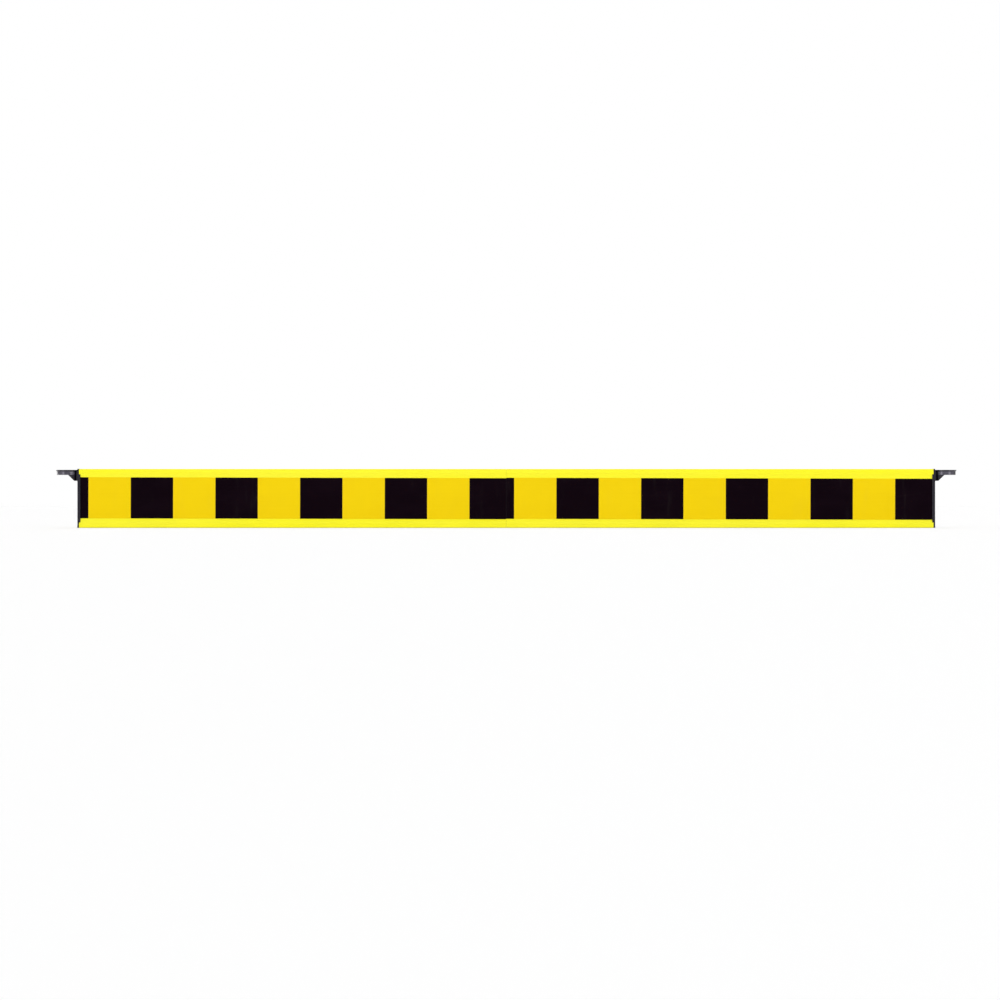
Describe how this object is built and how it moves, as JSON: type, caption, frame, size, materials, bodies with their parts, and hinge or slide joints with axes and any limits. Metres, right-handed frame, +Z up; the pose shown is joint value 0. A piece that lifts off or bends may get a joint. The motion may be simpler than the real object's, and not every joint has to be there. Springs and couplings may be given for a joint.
{
  "type": "folding barrier board",
  "caption": "Long hollow striped barrier board that folds on hinges at a centre seam, with a sliding bolt and an end cap with a ring collar at each end.",
  "frame": {"origin": "under the middle of the centre seam, level with the boards' bottom edge and midway between the faces", "axes": "+X along the board towards the keeper side, front face towards -Y, hinges and bolt on the +Y face, +Z up"},
  "size_m": [2.1294, 0.054, 0.1394],
  "materials": {
    "board_plastic": "satin extruded plastic, lemon yellow",
    "tape_black": "black retroreflective sheeting",
    "tape_amber": "amber retroreflective sheeting",
    "cap_plastic": "fine-textured moulded black",
    "plug_plastic": "moulded black",
    "pad_plastic": "moulded black with grip ridges",
    "zinc_steel": "bright zinc plating",
    "plate_steel": "plain zinc plating",
    "bolt_steel": "brushed along its length",
    "pin_steel": "turned",
    "screw_steel": "stainless, semi-bright",
    "spring_steel": "blued spring steel",
    "rivet_aluminium": "satin",
    "washer_nylon": "natural nylon"
  },
  "bodies": {
    "left_section": {"left_board": "board_plastic", "left_black_tape": "tape_black", "left_amber_tape": "tape_amber", "left_end_cap": "cap_plastic", "left_cap_screws": "screw_steel", "left_joint_plug": "plug_plastic", "left_backing_plates": "plate_steel", "upper_hinge_left_leaf": "zinc_steel", "upper_hinge_pin": "pin_steel", "upper_hinge_washers": "washer_nylon", "lower_hinge_left_leaf": "zinc_steel", "lower_hinge_pin": "pin_steel", "lower_hinge_washers": "washer_nylon", "left_hinge_screws": "screw_steel", "bolt_housing": "zinc_steel", "bolt_housing_rivets": "rivet_aluminium", "bolt_detent_spring": "spring_steel"},
    "right_section": {"right_board": "board_plastic", "right_black_tape": "tape_black", "right_amber_tape": "tape_amber", "right_end_cap": "cap_plastic", "right_cap_screws": "screw_steel", "right_joint_plug": "plug_plastic", "right_backing_plates": "plate_steel", "upper_hinge_right_leaf": "zinc_steel", "lower_hinge_right_leaf": "zinc_steel", "right_hinge_screws": "screw_steel", "bolt_keeper": "zinc_steel", "bolt_keeper_rivets": "rivet_aluminium"},
    "sliding_bolt": {"slide_bolt": "bolt_steel", "bolt_thumb_pad": "pad_plastic", "thumb_pad_screw": "screw_steel"}
  },
  "joints": [
    {"name": "centre_fold", "type": "hinge", "parent": "left_section", "child": "right_section", "pos_m": [0, 0.021, 0.06975], "axis": [0, 0, 1], "range_deg": [0, 178]},
    {"name": "bolt_slide", "type": "slide", "parent": "left_section", "child": "sliding_bolt", "axis": [1, 0, 0], "range_m": [0, 0.03]}
  ]
}
